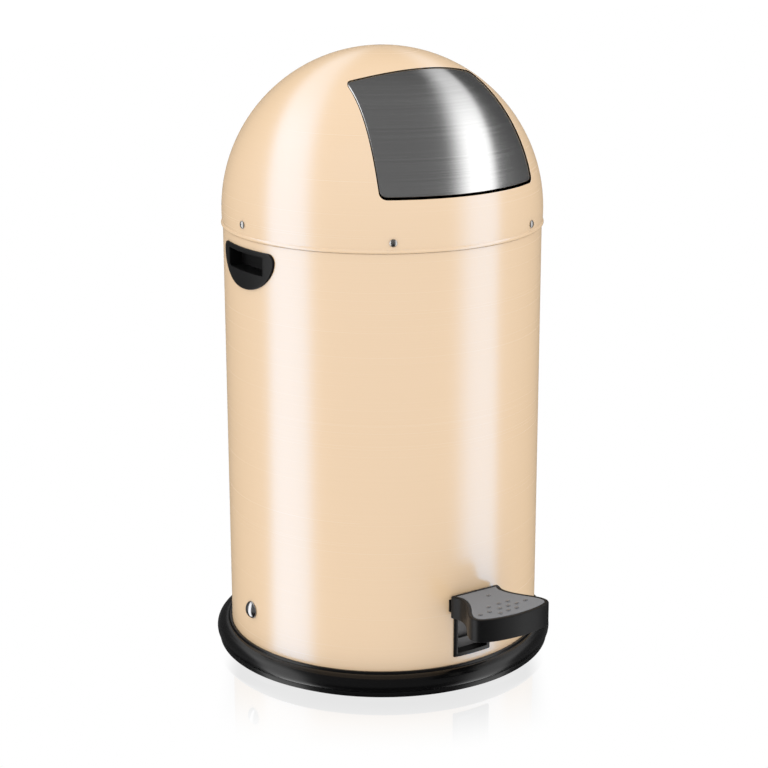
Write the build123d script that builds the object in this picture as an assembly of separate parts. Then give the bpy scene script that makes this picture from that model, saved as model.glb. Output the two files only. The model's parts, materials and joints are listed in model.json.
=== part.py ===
from build123d import *
import math
import os

# Dome-top pedal bin.  Millimetres, +Z up, front (pedal and flap) towards -Y.
# Origin: centre of the underside of the base ring, on the floor.

# ---- driving dimensions -----------------------------------------------------
R_BODY = 168.0          # outer radius of the steel body
T_BODY = 0.9            # body sheet
Z_BODY_LOW = 5.2        # body sheet stands in the groove of the base ring
Z_BODY_TOP = 464.2      # open top edge of the body

R_DOME = 169.2          # outer radius of the dome
T_DOME = 0.8            # dome sheet
Z_C = 479.0             # centre of the dome sphere, and the flap's axis
Z_BEAD_LOW = 464.6      # lower edge of the rolled bead
Z_BEAD_TOP = 468.4
R_BEAD = 170.0
Z_SCREW = 475.4         # the lid screws sit a little lower than the flap axis

RING_H = 23.6           # base ring
R_RING_IN = 150.0
R_RING_FOOT = 181.0
R_RING = 184.6

# flap opening, seen from the front
OPEN_Z0, OPEN_Z1, OPEN_ZM = 516.5, 621.0, 632.0
OPEN_X0, OPEN_XM, OPEN_X1 = 93.2, 89.6, 77.5      # half widths at the bottom, at z 565 and at the top
OPEN_FILLET, OPEN_FILLET_TOP = 9.0, 11.0
FLAP_GAP = 2.1          # along the bottom; the sides are 0.8 closer
R_SKIN, T_SKIN = 168.0, 0.8
R_CARRIER, T_CARRIER = 166.9, 3.4
FLAP_A1 = 78.0          # the flap runs under the dome up to this pitch
FLAP_SWING = 54.0

# pedal lever
Z_AXLE = 61.7
R_AXLE = 4.0
PEDAL_SWING = 12.0
REAR_ARM = 57.7         # horizontal reach of the lever to the push rod
R_ROD = 2.5
R_ROD_POS = 155.0       # push rod runs between the bucket and the body
ROD_A = math.degrees(math.asin(REAR_ARM / R_ROD_POS))
CRANK_R, CRANK_DOWN = 13.9, 14.0
PIN_R = 2.5
GAP = 0.3               # clearance where pieces only push on each other

PEDAL_Z0, PEDAL_Z1 = 79.0, 103.0
PEDAL_BACK = 170.4

# inner bucket
R_BUCKET, T_BUCKET = 145.0, 1.0
Z_BUCKET, Z_RIM = 100.5, 453.5
R_BAIL, Z_BAIL = 141.0, 460.5

SCREW_ANGLES = (30, -30, 150, -150)   # from the front, around Z


# ---- helpers ----------------------------------------------------------------
def tube(r0, r1, z0, z1):
    s = Pos(0, 0, (z0 + z1) / 2) * Cylinder(r1, z1 - z0)
    if r0 > 0:
        s -= Pos(0, 0, (z0 + z1) / 2) * Cylinder(r0, z1 - z0 + 2)
    return s


def box(x0, x1, y0, y1, z0, z1):
    return Pos((x0 + x1) / 2, (y0 + y1) / 2, (z0 + z1) / 2) * Box(x1 - x0, y1 - y0, z1 - z0)


def cyl_x(r, x0, x1, y, z):
    return Pos((x0 + x1) / 2, y, z) * Rot(0, 90, 0) * Cylinder(r, abs(x1 - x0))


def cyl_z(r, x, y, z0, z1):
    return Pos(x, y, (z0 + z1) / 2) * Cylinder(r, z1 - z0)


def spin(shape, deg):
    return Rot(0, 0, deg) * shape


def shell(r_out, t):
    return Pos(0, 0, Z_C) * (Sphere(r_out) - Sphere(r_out - t))


def yz_prism(pts, x0, x1):
    """Polygon in the YZ plane, extruded from x0 to x1."""
    f = make_face(Polyline(*[(x0, y, z) for y, z in pts], close=True))
    return extrude(f, amount=x1 - x0, dir=(1, 0, 0))


def xz_face(edges):
    return make_face(edges)


def wedge(a0, a1, x0, x1, far=260.0):
    """Slice between two pitch angles about the flap axis, front side."""
    n = 6
    pts = [(0, Z_C)]
    for i in range(n + 1):
        a = math.radians(a0 + (a1 - a0) * i / n)
        pts.append((-far * math.cos(a), Z_C + far * math.sin(a)))
    return yz_prism(pts, x0, x1)


def revolve_xz(pts):
    f = make_face(Polyline(*[(x, 0, z) for x, z in pts], close=True))
    return revolve(f, axis=Axis.Z, revolution_arc=360)


def save(node, shape):
    solids = shape.solids()
    out = solids[0] if len(solids) == 1 else Compound(children=list(solids))
    export_step(out, "parts/" + node + ".step")


os.makedirs("parts", exist_ok=True)

# ---- base ring: moulded ring with a groove for the body and a foot band -------
outer = Line((R_RING_FOOT, 0, 0.0), (R_RING_FOOT + 0.9, 0, 0.9))
foot = Line((R_RING_FOOT + 0.9, 0, 0.9), (R_RING_FOOT + 0.9, 0, 5.0))
step = Line((R_RING_FOOT + 0.9, 0, 5.0), (R_RING_FOOT + 0.5, 0, 5.5))
bulge = ThreePointArc((R_RING_FOOT + 0.5, 0, 5.5), (R_RING, 0, 12.6), (178.6, 0, 20.6))
shoulder = ThreePointArc((178.6, 0, 20.6), (175.6, 0, 21.7), (172.2, 0, 21.9))
rest_pts = [(172.2, 21.9), (171.8, 21.5), (171.4, 21.9), (171.2, 23.2), (170.6, RING_H),
            (168.5, RING_H), (168.08, 23.2), (168.08, 5.0), (166.98, 5.0), (166.98, 12.0),
            (165.3, 12.0), (165.3, 5.0), (R_RING_IN, 5.0), (R_RING_IN, 0.0),
            (R_RING_FOOT, 0.0)]
rest = Polyline(*[(x, 0, z) for x, z in rest_pts])
ring_face = make_face(outer + foot + step + bulge + shoulder + rest)
base_ring = revolve(ring_face, axis=Axis.Z, revolution_arc=360)
BASE_SCREW_ANGLES = (45, 105, 165, 225, 285, 345)
for a in BASE_SCREW_ANGLES:
    base_ring -= spin(cyl_z(4.7, 157.5, 0, -1, 3.0), a)
    base_ring -= spin(cyl_z(2.15, 157.5, 0, -1, 8.0), a)
save("base_ring", base_ring)

bottom_plate = tube(0, 165.0, 5.0, 6.2) + tube(0, 60.0, 6.2, 7.4)
for a in BASE_SCREW_ANGLES:
    bottom_plate -= spin(cyl_z(2.0, 157.5, 0, 0, 12.0), a)
save("bottom_plate", bottom_plate)

base_screws = None
for a in BASE_SCREW_ANGLES:
    s = cyl_z(4.2, 157.5, 0, 0.5, 3.0) + cyl_z(1.95, 157.5, 0, 2.5, 10.0)
    s -= Pos(157.5, 0, 0.5) * (Box(5.2, 1.1, 2.0) + Box(1.1, 5.2, 2.0))
    s = spin(s, a)
    base_screws = s if base_screws is None else base_screws + s
save("base_screws", base_screws)

# ---- body shell ---------------------------------------------------------------
body = tube(R_BODY - T_BODY, R_BODY, Z_BODY_LOW, Z_BODY_TOP)
body -= box(-20.6, 20.6, -200, -100, 34.4, 95.1)            # pedal slot
for sx in (-1, 1):
    body -= box(min(sx * 100, sx * 200), max(sx * 100, sx * 200), -36.0, 36.0, 428.5, 452.7)
    body -= cyl_x(4.15, sx * 150, sx * 180, 0, Z_AXLE)
save("body_shell", body)

# ---- side handles: D-shaped plate with a finger pocket --------------------------
def d_outline(x):
    """Outline of the handle plate: flat top, round shoulders, one smooth curve below."""
    top, bot, hw, zs = 455.4, 412.9, 48.4, 446.5
    r_pts = [(hw - 8.5, top), (hw - 5.2, top - 0.5), (hw - 2.4, top - 2.4), (hw - 0.6, top - 5.2), (hw, zs)]
    n = 16
    for i in range(1, n + 1):
        a = math.pi / 2 * i / n
        r_pts.append((hw * math.cos(a) ** 0.94, zs - (zs - bot) * math.sin(a) ** 1.12))
    pts = [(x, y, z) for y, z in r_pts] + [(x, -y, z) for y, z in reversed(r_pts[:-1])]
    return Polyline(*pts, close=True)


def handle(sx):
    x = sx * 140.0
    e = d_outline(x)
    d = extrude(make_face(e), amount=60, dir=(sx, 0, 0))
    plate = d & tube(R_BODY + 0.03, 170.2, 400, 470)
    inside = box(min(sx * 149.5, sx * 169), max(sx * 149.5, sx * 169), -35.7, 35.7, 428.8, 452.4)
    inside = inside & tube(0, R_BODY + 0.5, 400, 470)
    h = plate + inside
    pocket = box(min(sx * 151.4, sx * 190), max(sx * 151.4, sx * 190), -33.0, 33.0, 431.4, 450.3)
    h -= pocket
    return h


save("handle_left", handle(-1))
save("handle_right", handle(1))

# ---- pedal slot frame -------------------------------------------------------------
def xz_poly(pts, y0=-100.0, depth=100.0):
    f = make_face(Polyline(*[(x, y0, z) for x, z in pts], close=True))
    return extrude(f, amount=depth, dir=(0, -1, 0))


t_out = [(-23, 32), (23, 32), (23, 82), (28.5, 84), (28.5, 97), (-28.5, 97), (-28.5, 84), (-23, 82)]
frame_plate = xz_poly(t_out) & tube(R_BODY + 0.03, 169.8, 20, 110)
frame_sleeve = xz_poly([(-20.4, 34.6), (20.4, 34.6), (20.4, 94.9), (-20.4, 94.9)]) & tube(158.0, R_BODY + 0.5, 20, 110)
pedal_frame = frame_plate + frame_sleeve - xz_poly([(-18.5, 36.5), (18.5, 36.5), (18.5, 93.0), (-18.5, 93.0)])
save("pedal_frame", pedal_frame)

# fixed plate that closes the lower part of the slot, behind the frame's sleeve
slot_sill = xz_poly([(-20.2, 30.0), (20.2, 30.0), (20.2, 47.0), (-20.2, 47.0)]) & tube(156.2, 157.95, 20, 110)
slot_sill += xz_poly([(-20.2, 30.0), (20.2, 30.0), (20.2, 34.4), (-20.2, 34.4)]) & tube(157.0, 167.05, 20, 110)
save("slot_sill", slot_sill)

# ---- axle with dome cap nuts --------------------------------------------------------
axle = cyl_x(R_AXLE, -170.0, 170.0, 0, Z_AXLE)
save("axle", axle)

caps = nuts = washers = None
for sx in (-1, 1):
    # revolved about the axle: flange, then a spherical crown over a blind bore
    rc = (9.4 ** 2 + 5.3 ** 2) / (2 * 5.3)
    xc = 174.4 - rc
    half_a = math.atan2(9.4, 169.1 - xc) / 2
    mid = (xc + rc * math.cos(half_a), 0, Z_AXLE + rc * math.sin(half_a))
    o = Line((168.1, 0, Z_AXLE + R_AXLE), (168.1, 0, Z_AXLE + 9.4))
    o += Line((168.1, 0, Z_AXLE + 9.4), (169.1, 0, Z_AXLE + 9.4))
    o += ThreePointArc((169.1, 0, Z_AXLE + 9.4), mid, (174.4, 0, Z_AXLE))
    o += Line((174.4, 0, Z_AXLE), (170.05, 0, Z_AXLE))
    o += Line((170.05, 0, Z_AXLE), (170.05, 0, Z_AXLE + R_AXLE))
    o += Line((170.05, 0, Z_AXLE + R_AXLE), (168.1, 0, Z_AXLE + R_AXLE))
    cap = revolve(make_face(o), axis=Axis((0, 0, Z_AXLE), (1, 0, 0)), revolution_arc=360)
    if sx < 0:
        cap = spin(cap, 180)
    caps = cap if caps is None else caps + cap
    w = cyl_x(8.0, sx * 165.5, sx * 166.75, 0, Z_AXLE) - cyl_x(4.1, sx * 160, sx * 170, 0, Z_AXLE)
    washers = w if washers is None else washers + w
    hexa = Pos(sx * 162.4, 0, Z_AXLE) * Rot(0, 90, 0) * extrude(RegularPolygon(6.5, 6, major_radius=False), amount=3.1, both=True)
    n = hexa - cyl_x(R_AXLE, sx * 150, sx * 175, 0, Z_AXLE)
    nuts = n if nuts is None else nuts + n
save("axle_cap_nuts", caps)
save("axle_washers", washers)
save("axle_lock_nuts", nuts)

# ---- shelf that carries the bucket ---------------------------------------------------
rod_x = R_ROD_POS * math.cos(math.radians(ROD_A))
rod_y = REAR_ARM
shelf = tube(0, 166.9, 99.0, 100.2) + tube(165.7, 166.9, 89.0, 99.5)
shelf -= cyl_z(4.5, rod_x, rod_y, 90, 110)
shelf -= box(-34, 34, -180, -140, 80, 98.9)
save("bucket_shelf", shelf)

guides = None
for z in (180.0, 380.0):
    g = box(150.8, 166.2, -8, 8, z, z + 12)
    g = g + (box(160.0, 167.05, -8, 8, z - 8, z + 20) & tube(165.0, 167.05, z - 10, z + 30))
    g = (g & tube(0, 167.05, z - 10, z + 30)) - cyl_z(R_ROD + 0.06, R_ROD_POS, 0, z - 20, z + 40)
    g = spin(g, ROD_A)
    guides = g if guides is None else guides + g
save("rod_guides", guides)

# ---- pedal lever -----------------------------------------------------------------------
lever_tube = cyl_x(7.0, -30, 140, 0, Z_AXLE) - cyl_x(5.9, -40, 150, 0, Z_AXLE)
save("lever_tube", lever_tube)

bushes = None
for x0, x1, f0, f1 in ((-30, -16, -31.6, -30.0), (126, 140, 140.0, 141.6)):
    b = cyl_x(5.9, x0, x1, 0, Z_AXLE) + cyl_x(7.4, f0, f1, 0, Z_AXLE)
    b -= cyl_x(R_AXLE + 0.05, -60, 160, 0, Z_AXLE)
    bushes = b if bushes is None else bushes + b
save("lever_bushes", bushes)

arm_pts = [(-3, 59.2), (-119, 61.5), (-151, 84.6), (-234, 84.6), (-234, 89.6), (-149.2, 89.6),
           (-117.4, 66.6), (-3, 64.2)]
front_arm = yz_prism(arm_pts, -11, 11) - cyl_x(7.0, -20, 20, 0, Z_AXLE)
for y in (-196, -222):
    front_arm -= cyl_z(2.1, 0, y, 80, 95)
save("front_arm", front_arm)

rear_arm = cyl_x(11.0, 133, 137, 0, Z_AXLE) + cyl_x(7.0, 133, 137, REAR_ARM, Z_AXLE)
rear_arm += yz_prism([(0, Z_AXLE - 11), (REAR_ARM, Z_AXLE - 7), (REAR_ARM, Z_AXLE + 7), (0, Z_AXLE + 11)], 133, 137)
rear_arm -= cyl_x(7.0, 120, 150, 0, Z_AXLE)
rear_arm -= cyl_x(2.5, 120, 150, REAR_ARM, Z_AXLE)
save("rear_arm", rear_arm)
save("shoe_pin", cyl_x(2.5, 131.0, 150.2, REAR_ARM, Z_AXLE) + cyl_x(4.0, 131.0, 133.0, REAR_ARM, Z_AXLE))
lever_shoe = cyl_x(7.0, rod_x - 5.8, rod_x + 5.8, REAR_ARM, Z_AXLE) - cyl_x(2.5, 120, 160, REAR_ARM, Z_AXLE)
save("lever_shoe", lever_shoe)

# sheet that closes the slot behind the frame, bent about the axle
def pitch_sector(r0, r1, a0, a1, x0, x1, cy, cz):
    n = 16
    pts = []
    for i in range(n + 1):
        a = math.radians(a0 + (a1 - a0) * i / n)
        pts.append((cy - r1 * math.cos(a), cz + r1 * math.sin(a)))
    for i in range(n, -1, -1):
        a = math.radians(a0 + (a1 - a0) * i / n)
        pts.append((cy - r0 * math.cos(a), cz + r0 * math.sin(a)))
    return yz_prism(pts, x0, x1)


full = cyl_x(153.0, -24, 24, 0, Z_AXLE) - cyl_x(151.8, -30, 30, 0, Z_AXLE)
cut = yz_prism([(0, Z_AXLE)] + [(-260 * math.cos(math.radians(a)), Z_AXLE + 260 * math.sin(math.radians(a)))
                                for a in (-8.4, 2.0, 13.4)], -24, 24)
shield = (full & cut) - yz_prism(arm_pts, -11, 11)
save("slot_shield", shield)

# pedal: plan outline, right half, widest near the front
half = [(29.0, -176.0), (26.9, -184.0), (28.9, -194.0), (35.0, -206.0), (42.0, -216.5),
        (46.6, -226.5), (46.6, -235.0), (41.0, -241.6), (24.0, -247.0), (0.0, -249.4)]


def pedal_half(inset):
    """Right half of the plan outline, root to front, as short chords of a smooth curve."""
    pts = []
    n = len(half)
    for i in range(n - 1):
        p0 = half[max(i - 1, 0)]
        p1, p2 = half[i], half[i + 1]
        p3 = half[i + 2] if i + 2 < n else (-half[n - 2][0], half[n - 2][1])
        for k in range(4):
            t = k / 4.0
            q = []
            for c in (0, 1):
                q.append(0.5 * (2 * p1[c] + (p2[c] - p0[c]) * t + (2 * p0[c] - 5 * p1[c] + 4 * p2[c] - p3[c]) * t * t
                                + (3 * p1[c] - p0[c] - 3 * p2[c] + p3[c]) * t ** 3))
            pts.append((q[0], q[1]))
    pts.append(half[-1])
    out = []
    for i, (x, y) in enumerate(pts):
        x0, y0 = pts[max(i - 1, 0)]
        x1, y1 = pts[i + 1] if i + 1 < len(pts) else (-pts[i - 1][0], pts[i - 1][1])
        tx, ty = x1 - x0, y1 - y0
        d = math.hypot(tx, ty)
        out.append((x + ty / d * inset, y - tx / d * inset))
    return out


def pedal_outline(inset, z):
    pr = pedal_half(inset)
    back = -PEDAL_BACK - inset
    right = [(pr[0][0] + 0.9, back)] + pr
    left = [(-x, y) for x, y in reversed(right) if x > 1e-6]
    return make_face(Polyline(*[(x, y, z) for x, y in right + left], close=True))


pedal = extrude(pedal_outline(0, PEDAL_Z0), amount=PEDAL_Z1 - PEDAL_Z0, dir=(0, 0, 1))
pedal -= extrude(pedal_outline(3.0, PEDAL_Z0 - 1), amount=18.6, dir=(0, 0, 1))       # hollow underside
pedal -= extrude(pedal_outline(3.2, PEDAL_Z1 - 1.8), amount=5.0, dir=(0, 0, 1))       # recess of the grip
ribs = box(-14.0, -11.1, -236.0, -172.5, 83.0, 97.5) + box(11.1, 14.0, -236.0, -172.5, 83.0, 97.5)
bosses = box(-11.3, 11.3, -236.0, -172.5, 89.7, 97.5) + box(-14.0, 14.0, -238.0, -234.2, 83.0, 97.5)
pedal = pedal + ribs + bosses
pedal -= box(-11.05, 11.05, -234.1, -160.0, 79.0, 89.65)                              # arm socket
for y in (-196, -222):
    pedal -= cyl_z(2.0, 0, y, 80, 96.5)
save("pedal", pedal)

grip = extrude(pedal_outline(3.6, PEDAL_Z1 - 1.75), amount=2.0, dir=(0, 0, 1))
for dx, dy in ((3.1, -191.7), (-1.5, -215.4), (9.9, -214.9), (14.2, -224.7), (26.7, -223.0), (-15.7, -217.0),
               (-8.2, -226.0), (3.1, -224.9), (6.9, -234.2), (-34.6, -228.8), (-22.4, -227.5), (-15.6, -236.5),
               (-3.8, -234.6)):
    grip += Pos(dx, dy, PEDAL_Z1 + 0.2) * scale(Sphere(1.0), by=(2.3, 2.0, 1.0))
save("pedal_grip", grip)

pedal_screws = None
for y in (-196, -222):
    s = cyl_z(3.8, 0, y, 82.2, 84.6) + cyl_z(1.95, 0, y, 84.0, 96.0)
    pedal_screws = s if pedal_screws is None else pedal_screws + s
save("pedal_screws", pedal_screws)

# torsion spring about the axle
coil_path = Helix(pitch=2.7, height=16.2, radius=6.6, center=(0, 0, 0), direction=(0, 0, 1))
coil = sweep(Plane(origin=coil_path @ 0, z_dir=coil_path % 0) * Circle(1.05), path=coil_path, is_frenet=True)
coil = Rot(0, 90, 0) * coil
coil = Pos(-50.5, 0, Z_AXLE) * coil
save("return_spring", coil)

# ---- push rod --------------------------------------------------------------------------
Z_RUN = 457.0
crank_y = -CRANK_R * math.cos(math.radians(CRANK_DOWN))
crank_z = Z_C - CRANK_R * math.sin(math.radians(CRANK_DOWN))
front_a = math.degrees(math.asin(crank_y / R_ROD_POS))
tip_x = R_ROD_POS * math.cos(math.radians(front_a))
z_tip = crank_z - PIN_R - GAP
rod = cyl_z(R_ROD, rod_x, rod_y, 72.0, Z_RUN) + Pos(rod_x, rod_y, Z_RUN) * Sphere(R_ROD)
run = revolve(Plane(origin=(R_ROD_POS, 0, Z_RUN), z_dir=(0, 1, 0)) * Circle(R_ROD), axis=Axis.Z,
              revolution_arc=ROD_A - front_a)
run = spin(run, front_a)
rod = rod + run + Pos(tip_x, crank_y, Z_RUN) * Sphere(R_ROD)
rod = rod + cyl_z(R_ROD, tip_x, crank_y, Z_RUN, z_tip) + cyl_z(3.6, tip_x, crank_y, z_tip - 1.8, z_tip)
save("push_rod", rod)
foot_z = Z_AXLE + 7.0 + GAP
rod_foot = cyl_z(6.0, rod_x, rod_y, foot_z, foot_z + 3.0) + cyl_z(4.4, rod_x, rod_y, foot_z + 2.5, foot_z + 9.0)
rod_foot -= cyl_z(R_ROD, rod_x, rod_y, 72.0, 90.0)
save("rod_foot", rod_foot)

# ---- dome lid -----------------------------------------------------------------------------
ro, ri = R_DOME, R_DOME - T_DOME
e = Line((ri, 0, Z_BEAD_LOW), (ro, 0, Z_BEAD_LOW))
e += ThreePointArc((ro, 0, Z_BEAD_LOW), (R_BEAD, 0, Z_BEAD_LOW + 2.6), (ro, 0, Z_BEAD_TOP))
e += Line((ro, 0, Z_BEAD_TOP), (ro, 0, Z_C))
s45 = math.sqrt(0.5)
e += ThreePointArc((ro, 0, Z_C), (ro * s45, 0, Z_C + ro * s45), (0, 0, Z_C + ro))
e += Line((0, 0, Z_C + ro), (0, 0, Z_C + ri))
e += ThreePointArc((0, 0, Z_C + ri), (ri * s45, 0, Z_C + ri * s45), (ri, 0, Z_C))
e += Line((ri, 0, Z_C), (ri, 0, Z_BEAD_LOW))
dome = revolve(make_face(e), axis=Axis.Z, revolution_arc=360)


def opening_face(y):
    o = Line((-OPEN_X0, y, OPEN_Z0), (OPEN_X0, y, OPEN_Z0))
    o += ThreePointArc((OPEN_X0, y, OPEN_Z0), (OPEN_XM, y, 565.0), (OPEN_X1, y, OPEN_Z1))
    o += ThreePointArc((OPEN_X1, y, OPEN_Z1), (0, y, OPEN_ZM), (-OPEN_X1, y, OPEN_Z1))
    o += ThreePointArc((-OPEN_X1, y, OPEN_Z1), (-OPEN_XM, y, 565.0), (-OPEN_X0, y, OPEN_Z0))
    f = make_face(o)
    vs = f.vertices().sort_by(Axis.Z)
    f = fillet(vs[:2], OPEN_FILLET)
    return fillet(f.vertices().sort_by(Axis.Z)[-2:], OPEN_FILLET_TOP)


dome -= extrude(opening_face(0), amount=220, dir=(0, -1, 0))
for a in SCREW_ANGLES:
    dome -= spin(Pos(0, -168, Z_SCREW) * Rot(90, 0, 0) * Cylinder(2.1, 20), a)
for sx in (-1, 1):
    dome -= cyl_x(3.1, sx * 150, sx * 180, 0, Z_C)
save("dome_lid", dome)

collar = revolve_xz([(163.2, 457.6), (165.9, 457.6), (166.7, 458.8), (166.7, Z_BEAD_LOW), (168.05, Z_BEAD_LOW),
                     (168.05, 486.0), (164.6, 486.0), (164.6, 466.0), (163.2, 464.6)])
for a in SCREW_ANGLES:
    collar += spin(box(-7, 7, -165.5, -159.8, 471, 486), a)
    collar -= spin(Pos(0, -160, Z_SCREW) * Rot(90, 0, 0) * Cylinder(2.0, 40), a)
for sx in (-1, 1):
    collar += box(min(sx * 158.7, sx * 166), max(sx * 158.7, sx * 166), -7, 7, 471, 486)
    collar -= cyl_x(3.0, sx * 150, sx * 180, 0, Z_C)
save("collar_ring", collar)


def pan_screw(r_shank, r_in, z):
    """Cross-recess pan head screw pointing inwards along the level radius at height z."""
    h = cyl_x(3.9, 169.35, 170.2, 0, 0) + ((Pos(166.3, 0, 0) * Sphere(5.5)) & cyl_x(3.9, 170.0, 180, 0, 0))
    s = h + cyl_x(r_shank, r_in, 169.6, 0, 0)
    s -= box(170.8, 174, -0.45, 0.45, -1.9, 1.9) + box(170.8, 174, -1.9, 1.9, -0.45, 0.45)
    return Pos(0, 0, z) * s


dome_screws = None
for a in SCREW_ANGLES:
    s = spin(pan_screw(2.0, 159.0, Z_SCREW), a - 90)
    dome_screws = s if dome_screws is None else dome_screws + s
save("dome_screws", dome_screws)
save("pivot_screws", pan_screw(3.0, 149.2, Z_C) + spin(pan_screw(3.0, 149.2, Z_C), 180))

# ---- flap ----------------------------------------------------------------------------------
def side_x(z):
    """Half width of the opening at height z, carried on above it."""
    t = z - OPEN_Z0
    return OPEN_X0 - 0.0084 * t - 0.001357 * t * t


def flap_prism(inset, fillet_r, z_top=652.0):
    z0 = OPEN_Z0 + inset
    side = inset - 0.8
    zs = [z0] + [z0 + 14.0 + (z_top - z0 - 14.0) * i / 9 for i in range(10)]
    right = [(side_x(z) - side, 0, z) for z in zs]
    left = [(-x, y, z) for x, y, z in reversed(right)]
    f = make_face(Polyline(*(right + left), close=True))
    low = f.vertices().sort_by(Axis.Z)[:2]
    f = fillet(low, fillet_r)
    return extrude(f, amount=220, dir=(0, -1, 0))


flap_skin = shell(R_SKIN, T_SKIN) & flap_prism(FLAP_GAP, 7.2) & wedge(5, FLAP_A1, -120, 120)
save("flap_skin", flap_skin)
carrier = shell(R_CARRIER, T_CARRIER) & flap_prism(FLAP_GAP + 1.6, 6.0) & wedge(5, FLAP_A1 - 1.0, -120, 120)

arms = []
ARM_A0, ARM_A1 = 26.0, 54.0
for sx in (-1, 1):
    strip = shell(R_CARRIER - T_CARRIER - 0.15, 3.0) & wedge(ARM_A0, ARM_A1, min(sx * 62, sx * 150), max(sx * 62, sx * 150))
    web = wedge(ARM_A0, ARM_A1, min(sx * 147, sx * 150), max(sx * 147, sx * 150), far=61.0)
    a = strip + web + cyl_x(7.0, sx * 147, sx * 158, 0, Z_C)
    if sx > 0:
        a += cyl_x(4.6, 147, 150, crank_y, crank_z)
        n = (-math.sin(math.radians(CRANK_DOWN)), math.cos(math.radians(CRANK_DOWN)))
        a += yz_prism([(n[0] * 5.5, Z_C + n[1] * 5.5), (crank_y + n[0] * 4.2, crank_z + n[1] * 4.2),
                       (crank_y - n[0] * 4.2, crank_z - n[1] * 4.2), (-n[0] * 5.5, Z_C - n[1] * 5.5)], 147, 150)
        a -= cyl_x(PIN_R, 140, 160, crank_y, crank_z)
    a -= cyl_x(4.5, sx * 140, sx * 165, 0, Z_C)
    arms.append(a)
rivets = None
for sx in (-1, 1):
    for pitch in (33.0, 47.0):
        x = sx * 70.0
        r = math.sqrt(163.0 ** 2 - x ** 2)
        p = math.radians(pitch)
        d = Vector(x, -r * math.cos(p), r * math.sin(p)).normalized()
        pl = Plane(origin=(d.X * 150, d.Y * 150, Z_C + d.Z * 150), z_dir=(d.X, d.Y, d.Z))
        hole = pl * Pos(0, 0, 8) * Cylinder(1.6, 17.0)
        body_r = (pl * Pos(0, 0, 8.0) * Cylinder(1.6, 15.0)) + (pl * Pos(0, 0, 8.6) * Cylinder(3.2, 1.4))
        body_r = body_r & (Pos(0, 0, Z_C) * Sphere(R_CARRIER - 0.2))
        carrier -= hole
        arms[0 if sx < 0 else 1] -= hole
        rivets = body_r if rivets is None else rivets + body_r
save("flap_carrier", carrier)
save("flap_arm_left", arms[0])
save("flap_arm_right", arms[1])
save("flap_rivets", rivets)
save("crank_pin", cyl_x(PIN_R, 145.6, 157.6, crank_y, crank_z) + cyl_x(3.6, 145.6, 147.0, crank_y, crank_z))
pb = None
for sx in (-1, 1):
    b = cyl_x(4.5, sx * 147, sx * 158, 0, Z_C) + cyl_x(6.4, sx * 158, sx * 158.4, 0, Z_C)
    b -= cyl_x(3.05, sx * 140, sx * 165, 0, Z_C)
    pb = b if pb is None else pb + b
save("pivot_bushes", pb)

# ---- inner bucket ----------------------------------------------------------------------------
rb = R_BUCKET
bucket = revolve_xz([(0, 104.0), (rb - 3.0, 104.0), (rb - 3.0, Z_BUCKET), (rb, Z_BUCKET), (rb, Z_RIM),
                     (rb - T_BUCKET, Z_RIM), (rb - T_BUCKET, 105.2), (0, 105.2)])
rim = revolve(Plane(origin=(rb + 0.1, 0, Z_RIM), z_dir=(0, 1, 0)) * Circle(2.0), axis=Axis.Z, revolution_arc=360)
bucket = bucket + rim
save("bucket", bucket)

ears = None
for sx in (-1, 1):
    x0, x1 = min(sx * 144.0, sx * 146.2), max(sx * 144.0, sx * 146.2)
    ear = box(x0, x1, -8, 8, 455.3, Z_BAIL) + cyl_x(5.4, x0, x1, 0, Z_BAIL)
    ear += yz_prism([(-8, Z_BAIL - 0.1), (8, Z_BAIL - 0.1), (4.6, Z_BAIL + 2.8), (-4.6, Z_BAIL + 2.8)], x0, x1)
    ear -= bucket
    ear -= cyl_x(2.06, sx * 130, sx * 160, 0, Z_BAIL)
    ears = ear if ears is None else ears + ear
save("bucket_ears", ears)

bail = revolve(Plane(origin=(R_BAIL, 0, Z_BAIL), z_dir=(0, 1, 0)) * Circle(2.0), axis=Axis.Z, revolution_arc=180)
for sx in (-1, 1):
    bail += cyl_x(1.95, sx * (R_BAIL - 1.6), sx * 148.8, 0, Z_BAIL)
save("bail", bail)
gring = revolve(Plane(origin=(R_BAIL, 0, Z_BAIL), z_dir=(0, 1, 0)) * (Circle(4.4) - Circle(2.0)), axis=Axis.Z, revolution_arc=36)
save("bail_grip", spin(gring, 72))

print("rod at", round(rod_x, 3), round(rod_y, 3), "angle", round(ROD_A, 3))
print("crank pin", round(crank_y, 3), round(crank_z, 3), "tip x", round(tip_x, 3), "tip z", round(z_tip, 3))
print("height", Z_C + R_DOME)
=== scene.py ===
import bpy
import bmesh
import json
import math
import numpy as np
from mathutils import Vector, Matrix


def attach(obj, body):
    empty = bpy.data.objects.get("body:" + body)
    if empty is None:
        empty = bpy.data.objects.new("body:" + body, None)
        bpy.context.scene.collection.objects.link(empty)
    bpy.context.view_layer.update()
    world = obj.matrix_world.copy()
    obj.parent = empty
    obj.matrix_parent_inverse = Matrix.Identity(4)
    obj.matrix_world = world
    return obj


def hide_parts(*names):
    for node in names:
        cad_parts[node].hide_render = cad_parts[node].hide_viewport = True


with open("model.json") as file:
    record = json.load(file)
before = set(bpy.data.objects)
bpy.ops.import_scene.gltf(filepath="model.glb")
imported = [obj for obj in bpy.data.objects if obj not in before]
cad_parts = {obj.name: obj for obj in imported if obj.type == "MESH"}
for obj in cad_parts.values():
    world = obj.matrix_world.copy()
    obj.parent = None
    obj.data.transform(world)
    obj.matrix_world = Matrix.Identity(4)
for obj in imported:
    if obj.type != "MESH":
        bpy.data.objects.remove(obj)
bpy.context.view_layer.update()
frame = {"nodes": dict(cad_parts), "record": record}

# All shapes below are written in millimetres in the frame of the part: +Z up, front towards -Y.
R_BODY, Z_C = 168.0, 479.0
R_DOME, T_DOME = 169.2, 0.8
Z_AXLE = 61.7


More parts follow.
